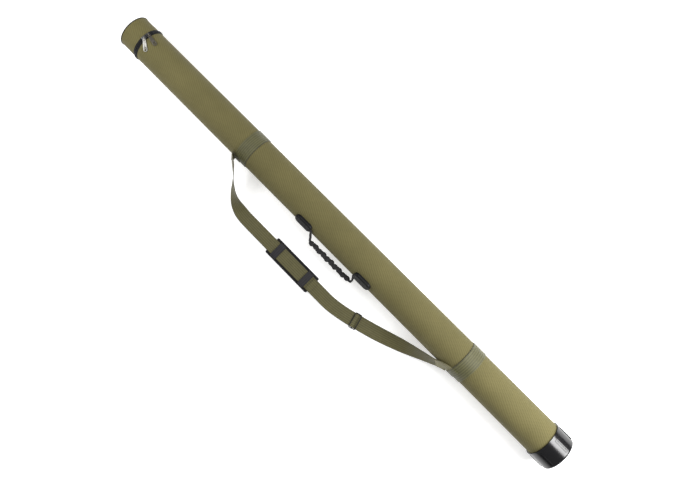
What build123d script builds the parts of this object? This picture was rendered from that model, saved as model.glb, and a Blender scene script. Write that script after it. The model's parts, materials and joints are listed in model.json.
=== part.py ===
from build123d import *
import os
from math import asin, cos, degrees, radians, sin, tan

# Rod case: a rigid tube in a fabric sleeve, with a zipped lid, a moulded end cap, a carry handle
# and a shoulder strap. Millimetres.
# Frame: +X runs along the tube from the end cap to the lid, +Y points to the side that carries the
# handle and the strap, +Z is up with the case lying down. The origin is the centre of the end
# cap's flat outer face. Angles round the tube are counted from +Y towards +Z.

os.makedirs("parts", exist_ok=True)

# ---- driving dimensions ------------------------------------------------------------------------

tube_r = 45.0             # 90 mm plastic pipe
tube_wall = 2.2
sleeve_r = 46.5           # outside of the fabric sleeve
seat_gap = 0.1            # between layers that lie on each other
seam_gap = 0.4            # between the case's and the lid's side of the zip
lid_end_x = 1532.5        # overall length
seam_x = 1473.0           # middle of the zip

cap_height = 52.0
cap_wall_r = 48.7
cap_rim_r = 50.0          # the rim is what the case lies on
cap_floor = 2.5
cap_edge_r = 5.0
cap_rib_count = 6
cap_rib_start = 54.0
cap_rib_size = (36.0, 7.5)
cap_rib_rise = 0.9
base_foam_t = 8.0         # foam in the bottom of the cap, which the pipe stands on

webbing_w = 38.0
webbing_t = 1.5
upper_band_x = 1062.0
lower_band_x = 300.0
anchor_angle = 22.0       # where the strap's ends are sewn in under the bands
anchor_depth = 16.0       # how far they reach under

zip_reach = 140.0         # the zip runs this far each way from the top
zip_tape_w = 6.5
zip_coil_w = 2.6
zip_stop_sweep = 2.4
park_angle = 104.0        # the closed sliders meet here
slider_sweep = 14.0
slider_step = 8.0         # each slider's middle from the meeting point
slider_l = 10.0
pull_l = 37.0
pull_w = 11.0

clip_angle = 32.0         # carry handle's line on the tube
clip_size = (56.0, 26.0, 7.6)
upper_clip_x = 825.0
lower_clip_x = 619.0
handle_pivot_r = 50.4
handle_droop = -57.0      # the handle's resting direction, from +Y
handle_reach = 40.0
handle_core_r = 2.2
handle_fit = 0.05
grip_x = (643.0, 783.0)
grip_bumps = 10
grip_r = (5.8, 7.6)

pad_x = 776.0             # shoulder pad's middle
pad_y = 144.2
pad_size = (154.0, 52.0, 7.0)
pad_loop_w = 19.0
pad_loop_x = 52.0         # each loop's middle from the pad's middle
slip = 0.35               # between the strap and what slides on it

glide_x, glide_y = 557.0, 127.8
glide_yaw = 15.0
glide_wire_r = 1.3
glide_post_r = 1.1
glide_l = 20.0
tail_l = 157.0            # the strap's second layer, from the triglide towards the pad

floor_z = -cap_rim_r
mouth_x = seam_x - seam_gap / 2
lid_x = seam_x + seam_gap / 2


# ---- small helpers -----------------------------------------------------------------------------

# A piece of a ring, as a sketch in the current plane.
def ring_sector(r_in, r_out, start, sweep):
    with BuildLine() as outline:
        CenterArc((0, 0), r_in, start, sweep)
        CenterArc((0, 0), r_out, start, sweep)
        for a in (radians(start), radians(start + sweep)):
            Line((r_in * cos(a), r_in * sin(a)), (r_out * cos(a), r_out * sin(a)))
    make_face(outline.edges())


# A ring or a piece of one between two places along the tube, in the current part.
def ring(r_in, r_out, x0, x1, start=0.0, sweep=360.0, mode=Mode.ADD):
    with BuildSketch(Plane.YZ.offset(x0)) as section:
        if sweep >= 360:
            Circle(r_out)
            if r_in:
                Circle(r_in, mode=Mode.SUBTRACT)
        else:
            ring_sector(r_in, r_out, start, sweep)
    extrude(section.sketch, amount=x1 - x0, mode=mode)


def on_tube(x, r, angle):
    return (x, r * cos(radians(angle)), r * sin(radians(angle)))


# A plane at a place outside the tube: its z points away from the axis, its x along -X, turned
# round the tube by yaw and then tipped towards the tube by dip.
def surface_plane(x, r, angle, yaw=0.0, dip=0.0):
    outward = Vector(*on_tube(0, 1, angle))
    level = Vector(-cos(radians(yaw)), 0, 0) + Vector(*on_tube(0, 1, angle + 90)) * sin(radians(yaw))
    heading = level * cos(radians(dip)) - outward * sin(radians(dip))
    return Plane(on_tube(x, r, angle), x_dir=heading, z_dir=heading.cross(outward.cross(level)))


def save(piece, name):
    piece.part.label = name
    export_step(piece.part, f"parts/{name}.step")


# ---- tube, sleeve, end cap ---------------------------------------------------------------------

tube_x0 = cap_floor + seat_gap
rivet_r = 1.6
rivet_spots = [x + side * 17 for x in (upper_clip_x, lower_clip_x) for side in (-1, 1)]


# Round holes through the wall under the handle clips.
def rivet_holes(r):
    for x in rivet_spots:
        with BuildSketch(Plane(on_tube(x, tube_r - 5, clip_angle), x_dir=(1, 0, 0),
                               z_dir=on_tube(0, 1, clip_angle))) as hole:
            Circle(r)
        extrude(hole.sketch, amount=10, mode=Mode.SUBTRACT)


with BuildPart() as inner_tube:
    ring(tube_r - tube_wall, tube_r, tube_x0 + base_foam_t + seat_gap, mouth_x - 1.5)
    rivet_holes(rivet_r + 0.02)
save(inner_tube, "inner_tube")

with BuildPart() as fabric_sleeve:
    ring(tube_r + seat_gap, sleeve_r, tube_x0, mouth_x)
    rivet_holes(rivet_r + 0.02)
save(fabric_sleeve, "fabric_sleeve")

with BuildPart() as end_cap:
    with BuildSketch(Plane.XY):
        with BuildLine():
            Polyline((cap_edge_r, cap_wall_r - 0.6), (cap_height - 3, cap_wall_r),
                     (cap_height - 3, cap_rim_r), (cap_height, cap_rim_r),
                     (cap_height, sleeve_r + seat_gap), (cap_floor, sleeve_r + seat_gap),
                     (cap_floor, 0), (0, 0), (0, cap_wall_r - 0.6 - cap_edge_r))
            RadiusArc((0, cap_wall_r - 0.6 - cap_edge_r), (cap_edge_r, cap_wall_r - 0.6), cap_edge_r)
        make_face()
    revolve(axis=Axis.X)
    for i in range(cap_rib_count):
        angle = cap_rib_start + i * 360 / cap_rib_count
        with BuildSketch(Plane(on_tube(cap_height / 2 - 1, cap_wall_r - 1.2, angle),
                               x_dir=(1, 0, 0), z_dir=on_tube(0, 1, angle))):
            RectangleRounded(*cap_rib_size, 1.2)
            RectangleRounded(cap_rib_size[0] - 4, cap_rib_size[1] - 4, 0.6, mode=Mode.SUBTRACT)
        extrude(amount=1.2 + cap_rib_rise)
save(end_cap, "end_cap")

with BuildPart() as base_foam:
    ring(0, tube_r, tube_x0, tube_x0 + base_foam_t)
save(base_foam, "base_foam")


# ---- webbing bands and the strap's sewn ends ---------------------------------------------------

anchor_sweep = degrees(webbing_w / (sleeve_r + webbing_t))
pocket_r = sleeve_r + webbing_t + 3 * seat_gap


# A webbing band round the sleeve, lifted where a strap end lies under it.
def band(middle):
    x0, x1 = middle - webbing_w / 2, middle + webbing_w / 2
    start = anchor_angle - anchor_sweep / 2
    ring(sleeve_r + seat_gap, sleeve_r + seat_gap + webbing_t, x0, x1)
    ring(sleeve_r + webbing_t, pocket_r + webbing_t, x1 - anchor_depth - 3, x1, start - 3,
         anchor_sweep + 6)
    ring(sleeve_r, pocket_r, x1 - anchor_depth - 0.5, x1 + 1, start - 0.5, anchor_sweep + 1,
         mode=Mode.SUBTRACT)


with BuildPart() as upper_band:
    band(upper_band_x)
save(upper_band, "upper_band")

with BuildPart() as lower_band:
    band(lower_band_x)
save(lower_band, "lower_band")


# ---- shoulder strap ----------------------------------------------------------------------------

# Each point of the route has a lean: the angle of the webbing's width from upright, 0 on edge
# and -90 lying flat.
strap_t = 1.6
pad_top = floor_z + pad_size[2]
on_pad_z = pad_top + slip + strap_t / 2
on_glide_z = floor_z + 2 * glide_wire_r + slip + strap_t / 2
glide_dir = Vector(-cos(radians(glide_yaw)), -sin(radians(glide_yaw)), 0)
glide_mid = Vector(glide_x, glide_y, on_glide_z)
glide_in = glide_mid - glide_dir * 62
glide_out = glide_mid + glide_dir * 52

route = [
    ((1067.0, 63.5, 18.0), -20),
    ((1043.0, 90.0, 3.0), -12),
    ((1012.0, 127.0, -22.0), -40),
    ((972.0, 143.8, -40.5), -80),
    ((925.0, pad_y, on_pad_z), -90),
    ((682.0, pad_y - 0.4, on_pad_z), -90),
    (tuple(glide_in), -90),
    (tuple(glide_out), -90),
    ((437.0, 88.8, -38.0), -68),
    ((386.0, 67.6, -15.0), -42),
    ((350.0, 53.4, 3.0), -27),
]
points = [Vector(*p) for p, lean in route]
leans = [lean for p, lean in route]


# Each bend is as wide as its two runs allow.
def bend_radii(pts):
    radii = []
    for a, b, c in zip(pts, pts[1:], pts[2:]):
        half_turn = radians((b - a).get_angle(c - b)) / 2
        radii.append(0.45 * min((b - a).length, (c - b).length) / tan(half_turn))
    return radii


strap_radii = bend_radii(points)
print("strap bend radii", [round(r) for r in strap_radii])
strap_path = FilletPolyline(*points, radius=strap_radii)
print("strap length", round(strap_path.length, 1))

corner_share = [0.0]
for a, b in zip(points, points[1:]):
    corner_share.append(corner_share[-1] + (b - a).length)
corner_share = [s / corner_share[-1] for s in corner_share]


def lean_at(share):
    for i in range(len(leans) - 1):
        if share <= corner_share[i + 1]:
            k = (share - corner_share[i]) / (corner_share[i + 1] - corner_share[i])
            return leans[i] + k * (leans[i + 1] - leans[i])
    return leans[-1]


# The webbing's cross-section at a share of the strap's length.
def strap_plane(share):
    along = strap_path.tangent_at(share)
    upright = (Vector(0, 0, 1) - along * along.Z).normalized()
    level = along.cross(upright)
    lean = radians(lean_at(share))
    return Plane(strap_path.position_at(share), x_dir=upright * cos(lean) + level * sin(lean),
                 z_dir=along)


# A stretch of the strap between two shares of its length, in the current part.
def strap_run(first, last, steps):
    sections = []
    for i in range(steps + 1):
        with BuildSketch(strap_plane(first + (last - first) * i / steps)) as section:
            Rectangle(webbing_w, strap_t)
        sections.append(section.sketch)
    loft(sections, ruled=True)


glide_share = strap_path.param_at_point(glide_mid)

with BuildPart() as strap_upper:
    strap_run(0, glide_share, 44)
save(strap_upper, "strap_upper")

with BuildPart() as strap_lower:
    strap_run(glide_share, 1, 22)
save(strap_lower, "strap_lower")
print("strap volume", round(strap_upper.part.volume + strap_lower.part.volume),
      "section times length", round(webbing_w * strap_t * strap_path.length))

# The strap's end, turned back over itself at the triglide and sewn down near the pad.
tail_lift = strap_t + seat_gap
tail_start = glide_share - tail_l / strap_path.length
with BuildPart() as strap_tail:
    for i in range(17):
        at = strap_plane(tail_start + (glide_share - tail_start) * i / 16)
        with BuildSketch(Plane(at.origin + Vector(0, 0, tail_lift), x_dir=at.x_dir, z_dir=at.z_dir)):
            Rectangle(webbing_w - 0.6, strap_t)
    loft(ruled=True)
save(strap_tail, "strap_tail")

# The upper end comes out from under its band towards the lid and folds straight back outwards.
anchor_r = sleeve_r + 2 * seat_gap + webbing_t / 2
round_tube = Vector(0, -sin(radians(anchor_angle)), cos(radians(anchor_angle)))


def anchor_point(x, r):
    return Vector(*on_tube(x, r, anchor_angle))


# A stretch of webbing between two end planes. Its width starts to turn from one direction to the
# other after the given share of its length.
def anchor_run(path, first, last, steps, turn_from=0.0):
    sections = []
    for i in range(steps + 1):
        share = i / steps
        along = path.tangent_at(share)
        turned = max(0.0, share - turn_from) / (1 - turn_from)
        across = first.x_dir * (1 - turned) + last.x_dir * turned
        level = (across - along * across.dot(along)).normalized()
        at = Plane(path.position_at(share), x_dir=level, z_dir=along)
        with BuildSketch({0: first, steps: last}.get(i, at)) as section:
            Rectangle(webbing_w, strap_t)
        sections.append(section.sketch)
    loft(sections, ruled=True)


# The sewn part under a band follows the tube's curve.
def anchor_tab(x0, x1):
    ring(sleeve_r + seat_gap, sleeve_r + seat_gap + webbing_t, x0, x1,
         anchor_angle - anchor_sweep / 2, anchor_sweep)


upper_edge_x = upper_band_x + webbing_w / 2
lower_edge_x = lower_band_x + webbing_w / 2
fold_turn = radians(140)
crease = anchor_point(upper_edge_x + 9, anchor_r)
folded_dir = Vector(cos(fold_turn), 0, 0) + anchor_point(0, 1) * sin(fold_turn)
fold = FilletPolyline(anchor_point(upper_edge_x + 0.5, anchor_r), crease, crease + folded_dir * 13,
                      points[0], radius=[2.6, 12])
fold_start = Plane(fold @ 0, x_dir=round_tube, z_dir=(1, 0, 0))
hook = FilletPolyline(points[-1], anchor_point(lower_edge_x + 12, anchor_r),
                      anchor_point(lower_edge_x + 0.5, anchor_r), radius=14)
hook_end = Plane(hook @ 1, x_dir=round_tube, z_dir=(-1, 0, 0))
with BuildPart() as strap_anchor_upper:
    anchor_tab(upper_edge_x - anchor_depth, upper_edge_x + 1.5)
    anchor_run(fold, fold_start, strap_plane(0), 24, turn_from=0.35)
save(strap_anchor_upper, "strap_anchor_upper")

with BuildPart() as strap_anchor_lower:
    anchor_tab(lower_edge_x - anchor_depth, lower_edge_x + 1.5)
    anchor_run(hook, strap_plane(1), hook_end, 10)
save(strap_anchor_lower, "strap_anchor_lower")


# ---- shoulder pad ------------------------------------------------------------------------------

with BuildPart() as shoulder_pad:
    with BuildSketch(Plane.XY.offset(floor_z)):
        with Locations((pad_x, pad_y)):
            RectangleRounded(pad_size[0], pad_size[1], 4)
    extrude(amount=pad_size[2])
    fillet(shoulder_pad.faces().sort_by(Axis.Z)[-1].edges(), 2)
save(shoulder_pad, "shoulder_pad")

loop_t = 1.2
loop_inner_w = webbing_w + 4 * slip
loop_inner_z = pad_top + strap_t + 2 * slip
for name, side in (("pad_loop_upper", 1), ("pad_loop_lower", -1)):
    with BuildPart() as pad_loop:
        with BuildSketch(Plane.YZ.offset(pad_x + side * pad_loop_x - pad_loop_w / 2)):
            with Locations((pad_y, (pad_top + loop_inner_z + loop_t) / 2)):
                Rectangle(loop_inner_w + 2 * loop_t, loop_inner_z + loop_t - pad_top)
            with Locations((pad_y, (pad_top + loop_inner_z) / 2)):
                Rectangle(loop_inner_w, loop_inner_z - pad_top, mode=Mode.SUBTRACT)
        extrude(amount=pad_loop_w)
    save(pad_loop, name)


# ---- triglide ----------------------------------------------------------------------------------

# The two outer bars lie over both layers of webbing and the middle bar under them.
glide_plane = Plane(glide_mid, x_dir=-glide_dir, z_dir=(0, 0, 1))
bar_low = floor_z + glide_wire_r - on_glide_z
bar_high = strap_t / 2 + strap_t + seat_gap + slip + glide_wire_r
half_l = glide_l / 2 - glide_wire_r
half_w = webbing_w / 2 + slip + glide_wire_r
with BuildPart() as triglide:
    with BuildLine(glide_plane.offset(bar_high)):
        outline = FilletPolyline((-half_l, -half_w), (half_l, -half_w), (half_l, half_w),
                                 (-half_l, half_w), radius=2.2, close=True)
    with BuildSketch(Plane(outline @ 0, z_dir=outline % 0)):
        Circle(glide_wire_r)
    sweep(path=outline)
    for side in (-1, 1):
        with BuildSketch(glide_plane.offset(bar_low)):
            with Locations((0, side * half_w)):
                Circle(glide_post_r)
        extrude(amount=bar_high - bar_low)
    bar_ends = [glide_plane.from_local_coords((0, side * (half_w + glide_wire_r), bar_low))
                for side in (-1, 1)]
    with BuildSketch(Plane(bar_ends[0], z_dir=bar_ends[1] - bar_ends[0])):
        Circle(glide_wire_r)
    extrude(amount=2 * (half_w + glide_wire_r))
save(triglide, "triglide")


# ---- zip ---------------------------------------------------------------------------------------

tape_r = (sleeve_r + seat_gap, sleeve_r + 0.7)
coil_r = (sleeve_r + 0.7, sleeve_r + 1.9)
zip_start = 90 - zip_reach
for name, near, far in (("zip_tape_case", mouth_x, mouth_x - zip_tape_w),
                        ("zip_tape_lid", lid_x, lid_x + zip_tape_w)):
    with BuildPart() as tape:
        ring(*tape_r, near, far, zip_start, 2 * zip_reach)
    save(tape, name)

for name, near, far in (("zip_coil_case", mouth_x, mouth_x - zip_coil_w),
                        ("zip_coil_lid", lid_x, lid_x + zip_coil_w)):
    with BuildPart() as coil:
        ring(*coil_r, near, far, zip_start + zip_stop_sweep, 2 * (zip_reach - zip_stop_sweep))
    save(coil, name)

with BuildPart() as zip_stops:
    for start in (zip_start, zip_start + 2 * zip_reach - zip_stop_sweep + 0.4):
        ring(coil_r[0], coil_r[1] + 0.3, mouth_x, mouth_x - zip_coil_w - 1, start,
             zip_stop_sweep - 0.4)
save(zip_stops, "zip_stops")

# The fabric left between the zip's two ends is the lid's hinge, one flap on each side of the seam.
flap_sweep = 360 - 2 * zip_reach - 1
for name, near, far in (("hinge_flap_case", mouth_x, mouth_x - zip_tape_w - 2),
                        ("hinge_flap_lid", lid_x, lid_x + zip_tape_w + 2)):
    with BuildPart() as flap:
        ring(sleeve_r + seat_gap, sleeve_r + 1.1, near, far, 270 - flap_sweep / 2, flap_sweep)
    save(flap, name)

slider_r = (coil_r[1] + 0.8, coil_r[1] + 2.0)
skirt_x = (mouth_x - zip_coil_w - 2.2, mouth_x - zip_coil_w - 0.4)
bridge_r = slider_r[1] + 2.5          # the pull's pivot
bridge_wire = 0.9
pulls = {                             # angle on the tube, yaw in the surface, dip onto the sleeve
    "front": (park_angle - slider_step, -38.0, 13.5),
    "rear": (park_angle + slider_step, -8.0, 6.5),
}
for name, (angle, yaw, dip) in pulls.items():
    seat = surface_plane(seam_x - 1.5, slider_r[1], angle, yaw)
    pivot = surface_plane(seam_x - 1.5, bridge_r, angle, yaw)
    swung = surface_plane(seam_x - 1.5, bridge_r, angle, yaw, dip)
    with BuildPart() as slider:
        ring(*slider_r, seam_x - slider_l / 2, seam_x + slider_l / 2, angle - slider_sweep / 2,
             slider_sweep)
        ring(tape_r[1] + 0.3, slider_r[1] - 0.5, *skirt_x, angle - slider_sweep / 2, slider_sweep)
        for side in (-1, 1):
            with BuildSketch(seat.offset(-0.4)):
                with Locations((0, side * 2.6)):
                    RectangleRounded(2.6, 1.6, 0.5)
            extrude(amount=bridge_r - slider_r[1] + 0.4 + bridge_wire)
        pin_end = pivot.from_local_coords((0, -3.4, 0))
        with BuildSketch(Plane(pin_end, z_dir=pivot.y_dir)):
            Circle(bridge_wire)
        extrude(amount=6.8)
    save(slider, f"zip_slider_{name}")

    with BuildPart() as pull:
        with BuildSketch(Plane(swung.from_local_coords((0, -1.5, 0)), x_dir=swung.x_dir,
                               z_dir=swung.y_dir)):
            Circle(bridge_wire + 0.9)
            with Locations((3.0, 0)):
                Rectangle(6.0, 1.4)
            Circle(bridge_wire + 0.06, mode=Mode.SUBTRACT)
        extrude(amount=3.0)
        with BuildSketch(swung.offset(-0.7)):
            with BuildLine():
                Polyline((4.5, -1.5), (8, -3.1), (pull_l - 9, -pull_w / 2), (pull_l - 2, -pull_w / 2),
                         (pull_l, -pull_w / 2 + 2), (pull_l, pull_w / 2 - 2),
                         (pull_l - 2, pull_w / 2), (pull_l - 9, pull_w / 2), (8, 3.1), (4.5, 1.5),
                         close=True)
            make_face()
            with Locations((pull_l - 6, 0)):
                SlotOverall(6.4, 3.6, mode=Mode.SUBTRACT)
        extrude(amount=1.4)
    save(pull, f"zip_pull_{name}")
    print(name, "pull pivot", [round(v, 3) for v in pivot.origin],
          "axis", [round(v, 5) for v in pivot.y_dir])


# ---- lid ---------------------------------------------------------------------------------------

lid_disc_x = lid_end_x - 5.5
with BuildPart() as lid_ring:
    ring(tube_r - tube_wall, tube_r, lid_x + 1.5, lid_disc_x)
save(lid_ring, "lid_ring")

with BuildPart() as lid_disc:
    ring(0, tube_r, lid_disc_x + seat_gap, lid_disc_x + 2.6)
save(lid_disc, "lid_disc")

with BuildPart() as lid_foam:
    ring(0, tube_r - tube_wall - 0.2, lid_disc_x - 6, lid_disc_x)
save(lid_foam, "lid_foam")

with BuildPart() as lid_cover:
    ring(tube_r + seat_gap, sleeve_r, lid_x, lid_end_x - 1.6)
    ring(0, sleeve_r - 0.2, lid_disc_x + 2.7, lid_end_x - 1.6)
    fillet(lid_cover.edges().filter_by(GeomType.CIRCLE).group_by(Axis.X)[-1], 1.0)
save(lid_cover, "lid_cover")

with BuildPart() as lid_piping:
    with BuildSketch(Plane.XY):
        with Locations((lid_end_x - 1.5, sleeve_r - 0.1)):
            Circle(1.5)
        with BuildLine():
            Polyline((lid_x, tube_r), (lid_end_x - 1.5, tube_r), (lid_end_x - 1.5, 0),
                     (lid_x, 0), close=True)
        make_face(mode=Mode.SUBTRACT)
    revolve(axis=Axis.X)
    add(lid_cover.part, mode=Mode.SUBTRACT)
save(lid_piping, "lid_piping")


# ---- carry handle ------------------------------------------------------------------------------

clip_out = on_tube(0, 1, clip_angle)
clip_l, clip_w, clip_h = clip_size
pivot_y, pivot_z = on_tube(0, handle_pivot_r, clip_angle)[1:]
for name, x, inward in (("handle_clip_upper", upper_clip_x, -1),
                        ("handle_clip_lower", lower_clip_x, 1)):
    with BuildPart() as clip:
        with BuildSketch(Plane(on_tube(x, tube_r - 4, clip_angle), x_dir=(1, 0, 0),
                               z_dir=clip_out)):
            SlotOverall(clip_l, clip_w)
        extrude(amount=sleeve_r + clip_h - tube_r + 4)
        fillet(clip.faces().sort_by(Axis(origin=(0, 0, 0), direction=clip_out))[-1].edges(), 5)
        ring(0, sleeve_r + seat_gap, x - clip_l, x + clip_l, mode=Mode.SUBTRACT)
        # square inner end, with the bore that the handle's end turns in
        with BuildSketch(Plane((x + inward * (clip_l / 2 - 3), 0, 0), x_dir=(0, 1, 0),
                               z_dir=(inward, 0, 0))):
            Rectangle(300, 300)
        extrude(amount=10, mode=Mode.SUBTRACT)
        with BuildSketch(Plane((x + inward * (clip_l / 2 - 14), pivot_y, pivot_z),
                               x_dir=(0, 1, 0), z_dir=(inward, 0, 0))):
            Circle(handle_core_r + handle_fit)
        extrude(amount=20, mode=Mode.SUBTRACT)
        for spot in rivet_spots:
            with BuildSketch(Plane(on_tube(spot, tube_r, clip_angle), x_dir=(1, 0, 0),
                                   z_dir=clip_out)):
                Circle(rivet_r + 0.02)
            extrude(amount=3.4, mode=Mode.SUBTRACT)
    save(clip, name)

with BuildPart() as handle_rivets:
    for spot in rivet_spots:
        with BuildSketch(Plane(on_tube(spot, tube_r - tube_wall + 0.1, clip_angle),
                               x_dir=(1, 0, 0), z_dir=clip_out)):
            Circle(rivet_r)
        extrude(amount=5.2)
save(handle_rivets, "handle_rivets")

# The handle is drawn in the plane of its own swing axis and its resting direction.
handle_plane = Plane((0, pivot_y, pivot_z), x_dir=(1, 0, 0),
                     z_dir=Vector(1, 0, 0).cross(Vector(*on_tube(0, 1, handle_droop))))
core_ends = (lower_clip_x + clip_l / 2 - 13.5, upper_clip_x - clip_l / 2 + 13.5)
with BuildPart() as handle_core:
    with BuildLine(handle_plane):
        core_path = FilletPolyline(
            (core_ends[0], 0), (grip_x[0] + 13, 0), (grip_x[0] - 8, handle_reach),
            (grip_x[1] + 4, handle_reach), (grip_x[1] + 11, 0), (core_ends[1], 0), radius=4.5)
    with BuildSketch(Plane(core_path @ 0, z_dir=core_path % 0)):
        Circle(handle_core_r)
    sweep(path=core_path)
save(handle_core, "handle_core")

bump_l = (grip_x[1] - grip_x[0]) / grip_bumps
with BuildPart() as handle_grip:
    with BuildSketch(handle_plane):
        with BuildLine():
            for i in range(grip_bumps):
                x = grip_x[0] + i * bump_l
                ThreePointArc((x, handle_reach + grip_r[0]),
                              (x + bump_l / 2, handle_reach + grip_r[1]),
                              (x + bump_l, handle_reach + grip_r[0]))
            Polyline((grip_x[0], handle_reach + grip_r[0]),
                     (grip_x[0], handle_reach + handle_core_r + 0.02),
                     (grip_x[1], handle_reach + handle_core_r + 0.02),
                     (grip_x[1], handle_reach + grip_r[0]))
        make_face()
    revolve(axis=Axis(handle_plane.from_local_coords((0, handle_reach, 0)), (1, 0, 0)))
save(handle_grip, "handle_grip")
print("handle pivot", round(pivot_y, 3), round(pivot_z, 3))
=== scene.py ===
import bpy
import json
from math import cos, exp, pi, radians, sin
from mathutils import Matrix, Vector


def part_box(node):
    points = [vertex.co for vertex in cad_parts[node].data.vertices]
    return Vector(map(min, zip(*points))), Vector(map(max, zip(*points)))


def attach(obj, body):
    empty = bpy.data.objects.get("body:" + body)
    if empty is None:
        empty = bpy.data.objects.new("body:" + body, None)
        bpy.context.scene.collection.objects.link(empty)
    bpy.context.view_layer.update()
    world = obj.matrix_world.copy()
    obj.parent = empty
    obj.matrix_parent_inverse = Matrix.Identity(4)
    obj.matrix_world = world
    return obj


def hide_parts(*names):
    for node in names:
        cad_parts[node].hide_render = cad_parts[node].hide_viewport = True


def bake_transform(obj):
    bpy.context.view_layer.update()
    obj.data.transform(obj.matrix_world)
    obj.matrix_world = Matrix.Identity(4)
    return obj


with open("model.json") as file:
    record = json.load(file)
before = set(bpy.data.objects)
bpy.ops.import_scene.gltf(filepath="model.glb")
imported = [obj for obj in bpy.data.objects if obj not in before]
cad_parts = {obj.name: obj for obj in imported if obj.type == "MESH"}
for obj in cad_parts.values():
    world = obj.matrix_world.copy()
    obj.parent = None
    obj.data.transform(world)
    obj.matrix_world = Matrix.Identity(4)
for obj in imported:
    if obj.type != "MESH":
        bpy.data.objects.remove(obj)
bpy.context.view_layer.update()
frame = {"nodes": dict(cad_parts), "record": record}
nodes = frame["nodes"]
joints = {j["name"]: j for j in frame["record"]["behaviour"]["joints"]}
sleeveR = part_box("fabric_sleeve")[1][1]
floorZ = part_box("end_cap")[0][2]
print("frame loaded")


# camera, floor and light

cameraSpot = {"place": (0.64345, -0.01136, 1.61772), "turn": (5.332, 6.329, 225.254),
              "lens": 32.406, "shift": (0.0726, -0.0707)}

bpy.ops.object.camera_add(location=cameraSpot["place"],
                          rotation=[radians(a) for a in cameraSpot["turn"]])
camera = bpy.context.object
camera.name = "camera"
camera.data.lens = cameraSpot["lens"]
camera.data.sensor_width = 36
camera.data.shift_x, camera.data.shift_y = cameraSpot["shift"]
bpy.context.scene.camera = camera


def only(*objs):
    bpy.ops.object.select_all(action="DESELECT")
    for obj in objs:
        obj.select_set(True)
    bpy.context.view_layer.objects.active = objs[0]


# put a piece's place, turn and size into its mesh
def settle(obj):
    only(obj)
    bpy.ops.object.transform_apply(location=True, rotation=True, scale=True)
    return obj


def applyAll(obj):
    only(obj)
    for mod in list(obj.modifiers):
        bpy.ops.object.modifier_apply(modifier=mod.name)
    return obj


def smooth(obj, angle=40):
    only(obj)
    bpy.ops.object.shade_smooth_by_angle(angle=radians(angle))
    return obj


def join(name, objs):
    only(*objs)
    if len(objs) > 1:
        bpy.ops.object.join()
    obj = bpy.context.view_layer.objects.active
    obj.name = name
    return obj


def fixNormals(obj, merge=0.00002):
    only(obj)
    bpy.ops.object.mode_set(mode="EDIT")
    bpy.ops.mesh.select_all(action="SELECT")
    bpy.ops.mesh.remove_doubles(threshold=merge)
    bpy.ops.mesh.normals_make_consistent(inside=False)
    bpy.ops.object.mode_set(mode="OBJECT")
    return obj


# a copy of a piece with its own mesh, moved by a matrix
def copyOf(obj, matrix):
    twin = obj.copy()
    twin.data = obj.data.copy()
    twin.data.transform(matrix)
    if matrix.determinant() < 0:
        twin.data.flip_normals()
    bpy.context.collection.objects.link(twin)
    return twin


# materials

def srgb(r, g, b):
    shares = [c / 3294.6 if c <= 10.3 else ((c / 255 + 0.055) / 1.055) ** 2.4 for c in (r, g, b)]
    return tuple(shares) + (1,)


def shade(colour, factor):
    return tuple(c * factor for c in colour[:3]) + (1,)


class Sock:
    # a shader socket that can be used in sums
    def __init__(self, paint, out):
        self.paint, self.out = paint, out

    def math(self, kind, *others):
        return self.paint.node("Math", {"operation": kind}, dict(enumerate((self,) + others)))

    def __add__(self, other):
        return self.math("ADD", other)

    def __mul__(self, other):
        return self.math("MULTIPLY", other)

    def __sub__(self, other):
        return self.math("SUBTRACT", other)

    def wave(self, period):
        # runs from 0 to 1 and back over one period
        return (self * (2 * pi / period)).math("SINE") * 0.5 + 0.5

    def above(self, level):
        return self.math("GREATER_THAN", level)

    def clamp(self):
        return self.math("MAXIMUM", 0.0).math("MINIMUM", 1.0)


class Paint:
    # one material; constants go straight onto the shader's own sockets
    def __init__(self, name, **fixed):
        self.mat = bpy.data.materials.new(name)
        self.mat.use_nodes = True
        self.tree = self.mat.node_tree
        self.shader = self.tree.nodes["Principled BSDF"]
        for key, value in fixed.items():
            self.shader.inputs[key.replace("_", " ")].default_value = value

    def node(self, kind, settings=None, sockets=None, out=0):
        made = self.tree.nodes.new("ShaderNode" + kind)
        for key, value in (settings or {}).items():
            if key == "stops":
                while len(made.color_ramp.elements) < len(value):
                    made.color_ramp.elements.new(0.5)
                for stop, (place, colour) in zip(made.color_ramp.elements, value):
                    stop.position, stop.color = place, colour
            else:
                setattr(made, key, value)
        for key, value in (sockets or {}).items():
            if isinstance(value, Sock):
                self.tree.links.new(value.out, made.inputs[key])
            else:
                made.inputs[key].default_value = value
        return Sock(self, made.outputs[out])

    def coord(self, kind="Object"):
        return self.node("TexCoord", out=kind)

    def part(self, vector, axis):
        return self.node("SeparateXYZ", None, {0: vector}, out=axis)

    def noise(self, vector, scale, detail=2.0, rough=0.5):
        return self.node("TexNoise", None, {"Vector": vector, "Scale": scale, "Detail": detail,
                                            "Roughness": rough}, out="Fac")

    def mix(self, factor, first, second):
        made = self.node("Mix", {"data_type": "RGBA"}, {"Factor": factor}).out.node
        for key, value in ((6, first), (7, second)):
            if isinstance(value, Sock):
                self.tree.links.new(value.out, made.inputs[key])
            else:
                made.inputs[key].default_value = value
        return Sock(self, made.outputs[2])

    def feed(self, key, value):
        self.tree.links.new(value.out, self.shader.inputs[key])

    def bump(self, height, distance, strength=1.0):
        self.feed("Normal", self.node("Bump", None, {"Height": height, "Distance": distance,
                                                     "Strength": strength}))


# lengths along and round the tube, in metres
def tubeCoords(paint):
    spot = paint.coord()
    angle = paint.part(spot, "Z").math("ARCTAN2", paint.part(spot, "Y"))
    return paint.part(spot, "X"), angle * sleeveR


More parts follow.
